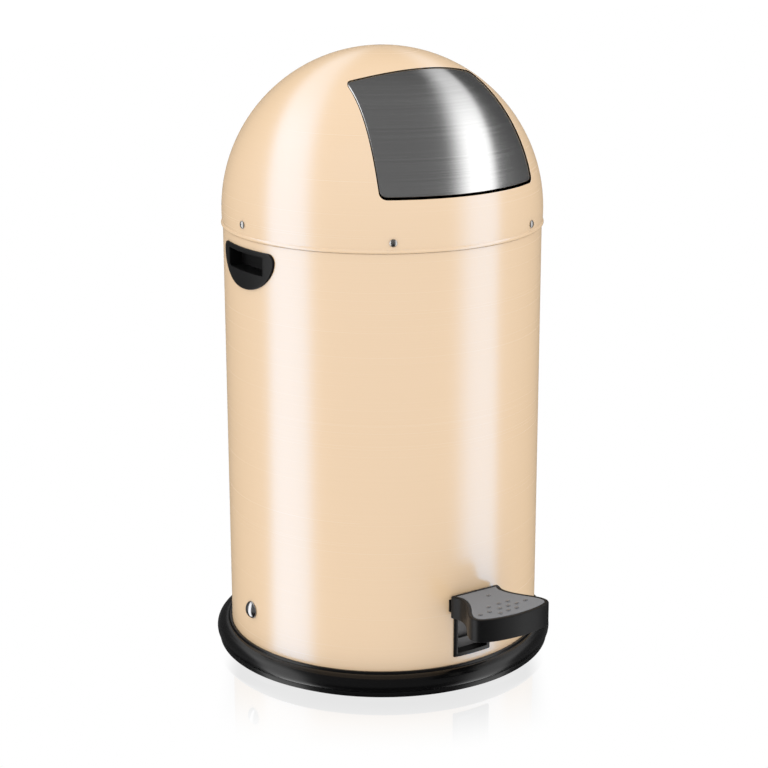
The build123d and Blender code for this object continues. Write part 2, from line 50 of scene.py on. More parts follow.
# ---------------------------------------------------------------- outlines
def fillet_poly(pts, seg=6):
    """Closed outline of (x, y, radius) corners, with each corner rounded."""
    out = []
    n = len(pts)
    for i in range(n):
        x, y, r = pts[i]
        if r <= 0:
            out.append((x, y))
            continue
        p = np.array((x, y))
        a = np.array(pts[i - 1][:2]) - p
        b = np.array(pts[(i + 1) % n][:2]) - p
        la, lb = np.linalg.norm(a), np.linalg.norm(b)
        a, b = a / la, b / lb
        ang = math.acos(max(-1.0, min(1.0, float(a @ b))))
        d = min(r / math.tan(ang / 2), 0.49 * la, 0.49 * lb)
        rr = d * math.tan(ang / 2)
        c = p + (a + b) / np.linalg.norm(a + b) * rr / math.sin(ang / 2)
        s, e = p + a * d - c, p + b * d - c
        a0 = math.atan2(s[1], s[0])
        sweep = (math.atan2(e[1], e[0]) - a0 + math.pi) % (2 * math.pi) - math.pi
        for k in range(seg + 1):
            t = a0 + sweep * k / seg
            out.append((c[0] + rr * math.cos(t), c[1] + rr * math.sin(t)))
    return out


def arc3(p0, p1, p2, n):
    """n + 1 points on the arc from p0 through p1 to p2."""
    (ax, ay), (bx, by), (cx, cy) = p0, p1, p2
    d = 2 * (ax * (by - cy) + bx * (cy - ay) + cx * (ay - by))
    ux = ((ax * ax + ay * ay) * (by - cy) + (bx * bx + by * by) * (cy - ay) + (cx * cx + cy * cy) * (ay - by)) / d
    uy = ((ax * ax + ay * ay) * (cx - bx) + (bx * bx + by * by) * (ax - cx) + (cx * cx + cy * cy) * (bx - ax)) / d
    a0, a1, a2 = (math.atan2(y - uy, x - ux) for x, y in (p0, p1, p2))
    full = 2 * math.pi
    s1, s2 = (a1 - a0) % full, (a2 - a0) % full
    sweep = s2 if s1 < s2 else s2 - full
    r = math.hypot(ax - ux, ay - uy)
    return [(ux + r * math.cos(a0 + sweep * k / n), uy + r * math.sin(a0 + sweep * k / n)) for k in range(n + 1)]


def star(centre, polys, n=360):
    """The same rays from centre cut through every outline, so that loops match point for point."""
    c = np.array(centre, float)
    angs = list(np.linspace(0, 2 * math.pi, n, endpoint=False))
    prepared = []
    for poly in polys:
        p = np.array(poly, float) - c
        area = 0.5 * np.sum(p[:, 0] * np.roll(p[:, 1], -1) - np.roll(p[:, 0], -1) * p[:, 1])
        if area < 0:
            p = p[::-1]
        a = np.arctan2(p[:, 1], p[:, 0]) % (2 * math.pi)
        k = int(np.argmin(a))
        p, a = np.roll(p, -k, axis=0), np.roll(a, -k)
        keep = np.r_[True, np.diff(a) > 1e-6]
        p, a = p[keep], a[keep]
        prepared.append((p, a))
        angs += list(a)
    angs = np.sort(np.array(angs) % (2 * math.pi))
    angs = angs[np.r_[True, np.diff(angs) > 4e-4]]
    d = np.c_[np.cos(angs), np.sin(angs)]
    out = []
    for p, a in prepared:
        i = (np.searchsorted(a, angs, side="right") - 1) % len(p)
        p0, p1 = p[i], p[(i + 1) % len(p)]
        e = p1 - p0
        t = (p0[:, 0] * e[:, 1] - p0[:, 1] * e[:, 0]) / (d[:, 0] * e[:, 1] - d[:, 1] * e[:, 0])
        out.append(d * t[:, None] + c)
    return out


def lerp(a, b, t):
    return a * (1 - t) + b * t


# ---------------------------------------------------------------- meshes
class Build:
    def __init__(self):
        self.v, self.f, self.nrm, self.n = [], [], [], 0

    def add(self, pts, normals=None):
        pts = np.asarray(pts, float)
        base = self.n
        self.v.append(pts)
        self.nrm.append(np.zeros_like(pts) if normals is None else np.asarray(normals, float))
        self.n += len(pts)
        return base

    def loops(self, loops, start=None, end=None, closed=False, normals=None):
        n = len(loops[0])
        bases = [self.add(l, None if normals is None else normals[k]) for k, l in enumerate(loops)]
        pairs = list(zip(bases, bases[1:]))
        if closed:
            pairs.append((bases[-1], bases[0]))
        for a, b in pairs:
            for i in range(n):
                j = (i + 1) % n
                self.f.append((a + i, a + j, b + j, b + i))
        if start is not None:
            k = self.add([start])
            self.f += [(k, bases[0] + (i + 1) % n, bases[0] + i) for i in range(n)]
        if end is not None:
            k = self.add([end])
            self.f += [(k, bases[-1] + i, bases[-1] + (i + 1) % n) for i in range(n)]
        return bases

    def box(self, x0, x1, y0, y1, z0, z1, r=0.4):
        """Box with rounded vertical and horizontal edges."""
        c = ((x0 + x1) / 2, (y0 + y1) / 2)
        def ring(inset):
            return fillet_poly([(x0 + inset, y0 + inset, 2 * r), (x1 - inset, y0 + inset, 2 * r),
                                (x1 - inset, y1 - inset, 2 * r), (x0 + inset, y1 - inset, 2 * r)], 3)
        spec = [(r, z0), (0.3 * r, z0 + 0.3 * r), (0, z0 + r), (0, z1 - r), (0.3 * r, z1 - 0.3 * r), (r, z1)]
        ls = [np.c_[np.array(ring(i)), np.full(16, z)] for i, z in spec]
        self.loops(ls, start=(c[0], c[1], z0), end=(c[0], c[1], z1))


def piece(b, name, body, nodes, material, sharp=38, weighted=True, cuts=None):
    v = np.concatenate(b.v) * 0.001
    me = bpy.data.meshes.new(name)
    me.from_pydata([tuple(p) for p in v], [], [list(dict.fromkeys(f)) for f in b.f])
    bm = bmesh.new()
    bm.from_mesh(me)
    bmesh.ops.recalc_face_normals(bm, faces=bm.faces)
    bm.to_mesh(me)
    bm.free()
    me.validate()
    me.polygons.foreach_set("use_smooth", [True] * len(me.polygons))
    ob = bpy.data.objects.new(name, me)
    bpy.context.scene.collection.objects.link(ob)
    if cuts:
        for c in cuts:
            m = ob.modifiers.new("cut", "BOOLEAN")
            m.operation, m.solver, m.object = "DIFFERENCE", "EXACT", c
        bpy.context.view_layer.update()
        dg = bpy.context.evaluated_depsgraph_get()
        new = bpy.data.meshes.new_from_object(ob.evaluated_get(dg))
        ob.modifiers.clear()
        ob.data = new
        for c in cuts:
            bpy.data.objects.remove(c)
        ob.data.polygons.foreach_set("use_smooth", [True] * len(ob.data.polygons))
    n = np.concatenate(b.nrm)
    if np.abs(n).max() > 0 and not cuts:
        ob.data.normals_split_custom_set_from_vertices([tuple(q) for q in n])
    else:
        ob.data.set_sharp_from_angle(angle=math.radians(sharp))
        if weighted:
            w = ob.modifiers.new("weighted", "WEIGHTED_NORMAL")
            w.keep_sharp = True
            w.mode = "FACE_AREA"
    ob.data.materials.clear()
    ob.data.materials.append(material)
    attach(ob, body)
    if nodes:
        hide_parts(*nodes)
    return ob


def cutter(b):
    v = np.concatenate(b.v) * 0.001
    me = bpy.data.meshes.new("cutter")
    me.from_pydata([tuple(p) for p in v], [], b.f)
    bm = bmesh.new()
    bm.from_mesh(me)
    bmesh.ops.recalc_face_normals(bm, faces=bm.faces)
    bm.to_mesh(me)
    bm.free()
    ob = bpy.data.objects.new("cutter", me)
    bpy.context.scene.collection.objects.link(ob)
    return ob


def ring_z(r, z, n):
    a = np.linspace(0, 2 * math.pi, n, endpoint=False)
    return np.c_[r * np.sin(a), -r * np.cos(a), np.full(n, z)]


def lathe(profile, n=360, closed=True, b=None):
    b = b or Build()
    b.loops([ring_z(r, z, n) for r, z in profile], closed=closed)
    return b


def cyl_between(b, p, d, r0, h0, h1, n=24):
    d = Vector(d).normalized()
    e1 = d.orthogonal().normalized()
    e2 = d.cross(e1)
    ls = []
    for h in (h0, h1):
        ls.append([tuple(Vector(p) + d * h + e1 * r0 * math.cos(t) + e2 * r0 * math.sin(t))
                   for t in np.linspace(0, 2 * math.pi, n, endpoint=False)])
    b.loops([np.array(x) for x in ls], start=tuple(Vector(p) + d * h0), end=tuple(Vector(p) + d * h1))


# ---------------------------------------------------------------- materials
def material(name, color, rough, metal=0.0, coat=0.0, coat_rough=0.1, aniso=0.0, grain=(300, 300, 300),
             col_var=0.03, rough_var=0.04, bump=0.02, detail=6.0, mottling=0.02, mottle=18.0, spec=0.5,
             bump_dist=0.0002, tint=None, smudge=0.0,
             spec_tint=(1, 1, 1), ior=1.5):
    """Principled surface whose colour, roughness and fine relief come from 3-D noise in the part's frame."""
    m = bpy.data.materials.new(name)
    m.use_nodes = True
    nt = m.node_tree
    nd, lk = nt.nodes, nt.links
    bs = nd["Principled BSDF"]
    bs.inputs["Metallic"].default_value = metal
    bs.inputs["Coat Weight"].default_value = coat
    bs.inputs["Coat Roughness"].default_value = coat_rough
    bs.inputs["Anisotropic"].default_value = aniso
    bs.inputs["Specular IOR Level"].default_value = spec
    bs.inputs["Specular Tint"].default_value = (*spec_tint, 1)
    bs.inputs["IOR"].default_value = ior
    tc = nd.new("ShaderNodeTexCoord")
    mp = nd.new("ShaderNodeMapping")
    mp.inputs["Scale"].default_value = grain
    lk.new(tc.outputs["Object"], mp.inputs["Vector"])
    fine = nd.new("ShaderNodeTexNoise")
    fine.inputs["Scale"].default_value = 1.0
    fine.inputs["Detail"].default_value = detail
    fine.inputs["Roughness"].default_value = 0.6
    lk.new(mp.outputs["Vector"], fine.inputs["Vector"])
    big = nd.new("ShaderNodeTexNoise")
    big.inputs["Scale"].default_value = mottle
    big.inputs["Detail"].default_value = 3.0
    lk.new(tc.outputs["Object"], big.inputs["Vector"])
    # colour: base, darkened and lightened by the grain, then by a broad mottle
    c = np.array(color)
    t = np.array(tint) if tint is not None else c * 0.9
    mix1 = nd.new("ShaderNodeMix")
    mix1.data_type = "RGBA"
    mix1.inputs["A"].default_value = (*np.clip(c * (1 - col_var), 0, 1), 1)
    mix1.inputs["B"].default_value = (*np.clip(c * (1 + col_var), 0, 1), 1)
    mr = nd.new("ShaderNodeMapRange")
    mr.inputs["From Min"].default_value = 0.3
    mr.inputs["From Max"].default_value = 0.7
    lk.new(fine.outputs["Fac"], mr.inputs["Value"])
    lk.new(mr.outputs["Result"], mix1.inputs["Factor"])
    mix2 = nd.new("ShaderNodeMix")
    mix2.data_type = "RGBA"
    mm = nd.new("ShaderNodeMapRange")
    mm.inputs["From Min"].default_value = 0.35
    mm.inputs["From Max"].default_value = 0.75
    mm.inputs["To Max"].default_value = mottling * 5
    lk.new(big.outputs["Fac"], mm.inputs["Value"])
    lk.new(mm.outputs["Result"], mix2.inputs["Factor"])
    lk.new(mix1.outputs["Result"], mix2.inputs["A"])
    mix2.inputs["B"].default_value = (*np.clip(t, 0, 1), 1)
    lk.new(mix2.outputs["Result"], bs.inputs["Base Color"])
    # roughness: grain plus broad smudges
    rr = nd.new("ShaderNodeMapRange")
    rr.inputs["From Min"].default_value = 0.3
    rr.inputs["From Max"].default_value = 0.7
    rr.inputs["To Min"].default_value = max(0.02, rough - rough_var)
    rr.inputs["To Max"].default_value = min(1.0, rough + rough_var)
    lk.new(fine.outputs["Fac"], rr.inputs["Value"])
    add = nd.new("ShaderNodeMath")
    add.operation = "MULTIPLY_ADD"
    lk.new(big.outputs["Fac"], add.inputs[0])
    add.inputs[1].default_value = smudge
    lk.new(rr.outputs["Result"], add.inputs[2])
    lk.new(add.outputs["Value"], bs.inputs["Roughness"])
    if bump > 0:
        bp = nd.new("ShaderNodeBump")
        bp.inputs["Strength"].default_value = bump
        bp.inputs["Distance"].default_value = bump_dist
        lk.new(fine.outputs["Fac"], bp.inputs["Height"])
        lk.new(bp.outputs["Normal"], bs.inputs["Normal"])
    return m


BRUSH = (0.8, 0.8, 1500.0)     # fine lines running level round the body
M = {
    "cream_paint": material("cream_lacquer", (0.925, 0.665, 0.410), 0.24, spec=1.0, ior=1.75, spec_tint=(0.10, 0.52, 1.0),
                            grain=BRUSH, col_var=0.014, rough_var=0.04, bump=0.03, mottling=0.004, mottle=9.0,
                            bump_dist=0.00003, detail=2.0),
    "brushed_stainless": material("brushed_stainless", (0.475, 0.474, 0.472), 0.185, metal=1.0, aniso=0.5,
                                  grain=(1.6, 1.6, 1150.0), col_var=0.07, rough_var=0.025, bump=0.008, mottling=0.01,
                                  bump_dist=0.00006, detail=3.0),
    "black_gloss_plastic": material("black_gloss_plastic", (0.0022, 0.0022, 0.0024), 0.20, ior=1.32, spec=0.55,
                                    grain=(1400, 1400, 1400), col_var=0.1, rough_var=0.012, bump=0.006, bump_dist=0.00008,
                                    mottle=14.0, smudge=0.04),
    "black_satin_plastic": material("black_satin_plastic", (0.0040, 0.0040, 0.0043), 0.42, spec=0.45, ior=1.30,
                                    grain=(900, 900, 900), col_var=0.12, rough_var=0.05, bump=0.14, bump_dist=0.0001,
                                    mottle=25.0, smudge=0.04),
    "grey_grip": material("grey_grip", (0.205, 0.214, 0.230), 0.62, spec=0.35, grain=(1500, 1500, 1500), col_var=0.10,
                          rough_var=0.06, bump=0.25, bump_dist=0.0001, mottle=40.0, mottling=0.02),
    "bright_chrome": material("bright_chrome", (0.31, 0.31, 0.32), 0.16, metal=1.0, grain=(500, 500, 500),
                              col_var=0.02, rough_var=0.02, bump=0.01, bump_dist=0.00005),
    "steel_screw": material("steel_screw", (0.36, 0.355, 0.35), 0.32, metal=1.0, grain=(1200, 1200, 1200),
                            col_var=0.08, rough_var=0.06, bump=0.08, bump_dist=0.00005),
    "zinc_plate": material("zinc_plate", (0.56, 0.55, 0.50), 0.38, metal=1.0, grain=(220, 220, 220), col_var=0.10,
                           rough_var=0.08, bump=0.05, mottle=60.0, mottling=0.05, tint=(0.46, 0.46, 0.48)),
    "galvanised_sheet": material("galvanised_sheet", (0.50, 0.51, 0.52), 0.42, metal=1.0, grain=(90, 90, 90),
                                 col_var=0.12, rough_var=0.10, bump=0.04, mottle=45.0, mottling=0.08,
                                 tint=(0.62, 0.63, 0.64), detail=2.0),
    "steel_rod": material("steel_rod", (0.48, 0.48, 0.48), 0.28, metal=1.0, grain=(1500, 1500, 30), col_var=0.08,
                          rough_var=0.05, bump=0.05),
    "spring_wire": material("spring_wire", (0.20, 0.20, 0.205), 0.34, metal=1.0, grain=(700, 700, 700), col_var=0.15,
                            rough_var=0.08, bump=0.04),
    "white_nylon": material("white_nylon", (0.72, 0.71, 0.67), 0.48, grain=(400, 400, 400), col_var=0.03,
                            rough_var=0.05, bump=0.05),
}
# the grip's raised dots get a darker colour than the grip itself: painted shade standing in for the shading of the dots
M["grip_dot_painted_shade"] = material("grip_dot_painted_shade", (0.085, 0.088, 0.095), 0.20, spec=1.0, ior=1.6, grain=(900, 900, 900), col_var=0.08,
                         rough_var=0.04, bump=0.03)
M["slot_grey"] = material("slot_grey", (0.125, 0.122, 0.122), 0.50, grain=(800, 800, 800), col_var=0.06,
                          rough_var=0.05, bump=0.08, bump_dist=0.0001)

# ---------------------------------------------------------------- base ring
prof = [(180.7, 0.0), (181.15, 0.25), (181.7, 0.75), (181.9, 1.2), (181.9, 4.6), (181.75, 5.05), (181.5, 5.5)]
prof += arc3((181.5, 5.5), (184.6, 12.6), (178.6, 20.6), 28)[1:]
prof += arc3((178.6, 20.6), (175.6, 21.7), (172.2, 21.9), 10)[1:]
prof += [(171.95, 21.72), (171.8, 21.5), (171.6, 21.6), (171.4, 21.9), (171.25, 22.8), (171.1, 23.25),
         (170.9, 23.5), (170.55, 23.6), (168.75, 23.6), (168.35, 23.5), (168.1, 23.2), (168.1, 5.0),
         (166.98, 5.0), (166.98, 11.7), (166.7, 12.0), (165.6, 12.0), (165.3, 11.7), (165.3, 5.0),
         (150.4, 5.0), (150.0, 4.6), (150.0, 0.4), (150.4, 0.0)]
ring = lathe(prof, 384)
SCREWS = (45, 105, 165, 225, 285, 345)
cuts = []
for a in SCREWS:
    c = Build()
    p = (157.5 * math.cos(math.radians(a)), 157.5 * math.sin(math.radians(a)), 0)
    cyl_between(c, p, (0, 0, 1), 4.7, -1.0, 3.0, 32)
    cuts.append(cutter(c))
piece(ring, "base_ring_skin", "body", ["base_ring"], M["black_gloss_plastic"], cuts=cuts)


# ---------------------------------------------------------------- body shell
def spread(stops, step):
    out = []
    for a, b in zip(stops, stops[1:]):
        k = max(1, int(round((b - a) / step)))
        out += [a + (b - a) * i / k for i in range(k)]
    return out + [stops[-1]]


A_SLOT = math.degrees(math.asin(20.6 / R_BODY))
A_CUT = math.degrees(math.asin(36.0 / R_BODY))
Z_CUT = (428.5, 452.7)
stops = [-180, -179.7, -90 - A_CUT, -90 + A_CUT, -A_SLOT, A_SLOT, 90 - A_CUT, 90 + A_CUT, 179.7, 180]
angs = spread(stops, 1.25)[:-1]
zs = spread([5.2, 34.4, 95.1, Z_CUT[0], Z_CUT[1], 463.2], 14.0)
sheet = Build()
ang = np.radians(angs)
n_a = len(ang)
seam = 0.14 * np.exp(-((np.abs(np.degrees(ang)) - 180) / 0.35) ** 2)


def wall(r, z):
    return np.c_[(r + seam) * np.sin(ang), -(r + seam) * np.cos(ang), np.full(n_a, z)]


radial = np.c_[np.sin(ang), -np.cos(ang), np.zeros(n_a)]
outer_rows = [(R_BODY, z) for z in zs] + [(R_BODY - 0.02, 463.75), (R_BODY - 0.13, 464.05), (R_BODY - 0.3, 464.18)]
inner_rows = [(R_BODY - 0.9, z) for z in zs] + [(R_BODY - 0.88, 463.75), (R_BODY - 0.77, 464.05), (R_BODY - 0.6, 464.18)]
ob_ = [sheet.add(wall(r, z), radial if z <= 463.3 else None) for r, z in outer_rows]
ib_ = [sheet.add(wall(r, z), -radial if z <= 463.3 else None) for r, z in inner_rows]


def hole(i, k):
    a = (angs[i] + (angs[i + 1] if i + 1 < n_a else 180)) / 2
    z = (zs[k] + zs[k + 1]) / 2 if k + 1 < len(zs) else 464
    if abs(a) < A_SLOT and 34.4 < z < 95.1:
        return True
    return abs(abs(a) - 90) < A_CUT and Z_CUT[0] < z < Z_CUT[1]


edges = {}
for k in range(len(outer_rows) - 1):
    for i in range(n_a):
        if hole(i, k):
            continue
        j = (i + 1) % n_a
        sheet.f.append((ob_[k] + i, ob_[k] + j, ob_[k + 1] + j, ob_[k + 1] + i))
        sheet.f.append((ib_[k] + i, ib_[k + 1] + i, ib_[k + 1] + j, ib_[k] + j))
        for e in (((k, i), (k, j)), ((k, j), (k + 1, j)), ((k + 1, j), (k + 1, i)), ((k + 1, i), (k, i))):
            key = tuple(sorted(e))
            edges[key] = None if key in edges else e
for e in edges.values():
    if e is None:
        continue
    (k0, i0), (k1, i1) = e
    p = [outer_rows[k0], outer_rows[k1], inner_rows[k1], inner_rows[k0]]
    quad = []
    for (r, z), i in zip(p, (i0, i1, i1, i0)):
        quad.append(((r + seam[i]) * math.sin(ang[i]), -(r + seam[i]) * math.cos(ang[i]), z))
    base = sheet.add(quad)
    sheet.f.append((base, base + 1, base + 2, base + 3))
body_piece = piece(sheet, "body_sheet", "body", ["body_shell"], M["cream_paint"])

# ---------------------------------------------------------------- dome lid
def opening(inset):
    """Outline of the flap opening seen from the front."""
    x0, xm, x1, z0, z1, zm = 93.2 - inset, 89.6 - inset, 77.5 - inset, 516.5 + inset, 621.0 - inset, 632.0 - inset
    side = arc3((x0, z0), (xm, 565.0), (x1, z1), 24)
    top = arc3((x1, z1), (0.0, zm), (-x1, z1), 40)
    pts = [(-x0, z0, 9.0 - inset), (x0, z0, 9.0 - inset)]
    pts += [(x, z, 0) for x, z in side[1:-1] if z > z0 + 9.5 and math.hypot(x - x1, z - z1) > 9.5]
    pts += [(x1, z1, 9.5)]
    pts += [(x, z, 0) for x, z in top[1:-1] if min(math.hypot(x - x1, z - z1), math.hypot(x + x1, z - z1)) > 9.5]
    pts += [(-x1, z1, 9.5)]
    pts += [(-x, z, 0) for x, z in side[::-1][1:-1] if z > z0 + 9.5 and math.hypot(x - x1, z - z1) > 9.5]
    return fillet_poly(pts, 10)


def on_sphere(r, xz):
    x, z = xz[:, 0], xz[:, 1] - Z_C
    return np.c_[x, -np.sqrt(np.maximum(r * r - x * x - z * z, 0)), xz[:, 1]]


cut_c = (0.0, 574.0)
lo_, mid_ = star(cut_c, [opening(0.0), opening(-0.45)], 420)
d_open = on_sphere(R_DOME, mid_) - (0, 0, Z_C)
d_open /= np.linalg.norm(d_open, axis=1)[:, None]
c0 = on_sphere(R_DOME, np.array([cut_c]))[0] - (0, 0, Z_C)
c0 /= np.linalg.norm(c0)
tang = d_open - (d_open @ c0)[:, None] * c0
tang /= np.linalg.norm(tang, axis=1)[:, None]
s_open = np.arccos(d_open @ c0)
z_floor = (468.6 - Z_C) / R_DOME
# along each great circle from the centre of the opening, where it meets the top of the bead
aa, bb = c0[2], tang[:, 2]
amp, ph = np.hypot(aa, bb), np.arctan2(bb, aa)
s_base = ph + np.arccos(z_floor / amp)
dome = Build()
rows_o, rows_i, nrm_o, nrm_i = [], [], [], []
NS = 90
for k in range(NS + 1):
    t = k / NS
    s = s_open + (s_base - s_open) * (t * 0.85 + 0.15 * t * t)
    d = np.cos(s)[:, None] * c0 + np.sin(s)[:, None] * tang
    rows_o.append(d * R_DOME + (0, 0, Z_C))
    rows_i.append(d * (R_DOME - T_DOME) + (0, 0, Z_C))
    nrm_o.append(d)
    nrm_i.append(-d)
az = np.arctan2(rows_o[-1][:, 0], -rows_o[-1][:, 1])


def az_ring(r, z):
    return np.c_[r * np.sin(az), -r * np.cos(az), np.full(len(az), z)]


bead = [(169.0, 468.35)] + arc3((169.12, 468.1), (170.0, 466.4), (169.2, 464.75), 14)
lip = []
for w, dr in ((0.82, 0.04), (0.35, 0.14), (0.06, 0.30), (0.0, 0.42), (0.06, 0.52), (0.4, 0.68)):
    lip.append(on_sphere(R_DOME - dr, lerp(lo_, mid_, w)))
under = on_sphere(R_DOME - T_DOME, mid_)
base_loops = [az_ring(r, z) for r, z in bead] + [az_ring(168.95, 464.6), az_ring(168.65, 464.6),
                                                  az_ring(168.4, 464.9), az_ring(168.4, 468.4)]
zero = np.zeros_like(d_open)
all_loops = [under] + lip[::-1] + rows_o + base_loops + rows_i[::-1]
all_n = [zero] + [zero] * len(lip) + nrm_o + [zero] * len(base_loops) + nrm_i[::-1]
dome.loops(all_loops, normals=all_n)
n_ring = len(d_open)
first, last = 0, (len(all_loops) - 1) * n_ring
for i in range(n_ring):
    j = (i + 1) % n_ring
    dome.f.append((last + i, last + j, first + j, first + i))
piece(dome, "dome_skin", "dome", ["dome_lid"], M["cream_paint"])

# ---------------------------------------------------------------- flap
GAPF = 2.1


def flap_outline(inset, pitch=78.0, r=168.0):
    z0 = 516.5 + GAPF

    def x_at(z):
        t = z - 516.5
        return 93.2 - 0.0084 * t - 0.001357 * t * t - (GAPF - 0.8) - inset
    p = math.radians(pitch - math.degrees(inset / r))
    # where the side line meets the top edge
    z = 620.0
    for _ in range(60):
        x = x_at(z)
        z = Z_C + math.sqrt(r * r - x * x) * math.sin(p)
    xt, zt = x_at(z), z
    top = []
    for k in range(1, 32):
        x = xt * (1 - 2 * k / 32)
        top.append((x, Z_C + math.sqrt(r * r - x * x) * math.sin(p), 0))
    zb = z0 + inset
    rr = max(7.2 - inset, 1.0)
    right = [(x_at(q), q, 0) for q in np.linspace(zb + 12.0, zt - 4.0, 22)]
    left = [(-x, q, 0) for x, q, _ in reversed(right)]
    return fillet_poly([(-x_at(zb), zb, rr), (x_at(zb), zb, rr)] + right + [(xt, zt, 1.6)] + top
                       + [(-xt, zt, 1.6)] + left, 8)


R_S = 168.0
spec = [(1.15, 0.0), (0.75, 0.07), (0.38, 0.26), (0.12, 0.55), (0.0, 0.95), (0.0, 2.0), (0.12, 2.2), (0.35, 2.28),
        (0.6, 2.2), (0.72, 2.0), (0.72, 1.15), (0.95, 0.85), (1.4, 0.8)]
outl = star((0.0, 574.0), [flap_outline(i) for i, _ in spec], 420)
flap = Build()
surf = []
NF = 70
cf = np.array((0.0, 574.0))
for k in range(NF):
    t = (k + 1) / NF
    t = t ** 0.85
    surf.append(lerp(np.tile(cf, (len(outl[0]), 1)), outl[0], t))
up = [on_sphere(R_S, q) for q in surf]
upn = [(q - (0, 0, Z_C)) / R_S for q in up]
curl = [on_sphere(R_S - dr, o) for (_, dr), o in zip(spec[1:], outl[1:])]
dn_src = [lerp(np.tile(cf, (len(outl[0]), 1)), outl[-1], ((k + 1) / NF) ** 0.85) for k in range(NF)]
dn = [on_sphere(R_S - 0.8, q) for q in dn_src][::-1]
dnn = [-(q - (0, 0, Z_C)) / (R_S - 0.8) for q in dn]
z3 = np.zeros_like(up[0])
cen_u = on_sphere(R_S, np.array([cf]))[0]
cen_d = on_sphere(R_S - 0.8, np.array([cf]))[0]
flap.loops(up + curl + dn, normals=upn + [z3] * len(curl) + dnn)
n_l = len(up[0])
ku = flap.add([cen_u], [(cen_u - (0, 0, Z_C)) / R_S])
flap.f += [(ku, (i + 1) % n_l, i) for i in range(n_l)]
lb = (len(up) + len(curl) + len(dn) - 1) * n_l
kd = flap.add([cen_d], [-(cen_d - (0, 0, Z_C)) / R_S])
flap.f += [(kd, lb + i, lb + (i + 1) % n_l) for i in range(n_l)]
piece(flap, "flap_face", "flap", ["flap_skin"], M["brushed_stainless"])


# ---------------------------------------------------------------- handles
def d_outline(inset):
    """Flat top, round shoulders and one smooth curve below."""
    top, bot, hw, zs = 455.4 - inset, 412.9 + inset, 48.4 - inset, 446.5
    r_pts = [(0.0, top), (hw - 8.5, top), (hw - 6.7, top - 0.15), (hw - 5.2, top - 0.5), (hw - 3.7, top - 1.25),
             (hw - 2.4, top - 2.4), (hw - 1.3, top - 3.8), (hw - 0.6, top - 5.4), (hw - 0.15, top - 7.1)]
    for i in range(0, 33):
        a = math.pi / 2 * i / 32
        r_pts.append((hw * math.cos(a) ** 0.94 if i < 32 else 0.0, zs - (zs - bot) * math.sin(a) ** 1.12))
    return r_pts + [(-x, z) for x, z in reversed(r_pts[1:-1])]


def rect(hw, z0, z1, r):
    return fillet_poly([(-hw, z0, r), (hw, z0, r), (hw, z1, r), (-hw, z1, r)], 5)


def side_map(sx, yz, r):
    y = yz[:, 0]
    return np.c_[sx * np.sqrt(r * r - y * y), y, yz[:, 1]]


def side_flat(sx, yz, x):
    return np.c_[np.full(len(yz), sx * x), yz[:, 0], yz[:, 1]]


for sx, nm in ((-1, "left"), (1, "right")):
    polys = [rect(35.7, 428.8, 452.4, 0.8), d_outline(0.0), d_outline(0.28), d_outline(0.9), d_outline(1.7),
             rect(34.1, 430.3, 451.4, 2.2), rect(33.45, 430.95, 450.75, 2.0), rect(33.08, 431.32, 450.38, 1.8),
             rect(33.0, 431.4, 450.3, 1.7), rect(31.6, 432.8, 448.9, 1.2)]
    s = star((0.0, 440.8), polys, 360)
    # the pocket's corner is tightly rounded: a 1.6 mm fillet also runs round its floor
    L = [side_flat(sx, s[0], 149.5), side_map(sx, s[0], 167.9), side_map(sx, s[1], R_BODY + 0.03),
         side_map(sx, s[1], 169.35), side_map(sx, s[2], 169.85), side_map(sx, s[3], 170.13), side_map(sx, s[4], 170.2)]
    for t in (0.25, 0.5, 0.75):
        L.append(side_map(sx, lerp(s[4], s[5], t), 170.2))
    L += [side_map(sx, s[5], 170.2), side_map(sx, s[6], 170.02), side_map(sx, s[7], 169.5), side_map(sx, s[8], 168.8)]
    for x in (164.0, 160.0, 156.0):
        L.append(side_flat(sx, s[8], x))
    L += [side_flat(sx, s[8], 153.0), side_flat(sx, lerp(s[8], s[9], 0.3), 151.9), side_flat(sx, s[9], 151.4)]
    hb = Build()
    hb.loops(L, start=(sx * 149.5, 0, 440.8), end=(sx * 151.4, 0, 440.8))
    piece(hb, "handle_" + nm + "_body", "body", ["handle_" + nm], M["black_satin_plastic"])


# ---------------------------------------------------------------- pedal slot frame
def tee(i, r=0.8):
    return fillet_poly([(-23 + i, 32 + i, r), (23 - i, 32 + i, r), (23 - i, 82 + i * 0.3, 0.5), (28.5 - i, 84 + i, 0.7),
                        (28.5 - i, 97 - i, r), (-28.5 + i, 97 - i, r), (-28.5 + i, 84 + i, 0.7),
                        (-23 + i, 82 + i * 0.3, 0.5)], 4)


def front_map(xz, r):
    x = xz[:, 0]
    return np.c_[x, -np.sqrt(r * r - x * x), xz[:, 1]]


polys = [tee(0), tee(0.2), tee(0.7), rect(19.2, 37.2 - 1.4, 93.7, 0.6), rect(18.7, 36.3, 93.2, 0.5),
         rect(18.5, 36.5, 93.0, 0.4), rect(20.4, 34.6, 94.9, 0.4)]
s = star((0.0, 82.2), polys, 480)
L = [front_map(s[6], R_BODY - 0.2), front_map(s[0], R_BODY + 0.03), front_map(s[0], 169.3), front_map(s[1], 169.65),
     front_map(s[2], 169.8), front_map(lerp(s[2], s[3], 0.5), 169.8), front_map(s[3], 169.8), front_map(s[4], 169.65),
     front_map(s[5], 169.2), front_map(s[5], 164.0), front_map(s[5], 158.0), front_map(s[6], 158.0)]
fr = Build()
fr.loops(L, closed=True)
piece(fr, "slot_frame", "body", ["pedal_frame"], M["black_gloss_plastic"])

# ---------------------------------------------------------------- pedal
HALF = [(29.0, -176.0), (26.9, -184.0), (28.9, -194.0), (35.0, -206.0), (42.0, -216.5), (46.6, -226.5),
        (46.6, -235.0), (41.0, -241.6), (24.0, -247.0), (0.0, -249.4)]


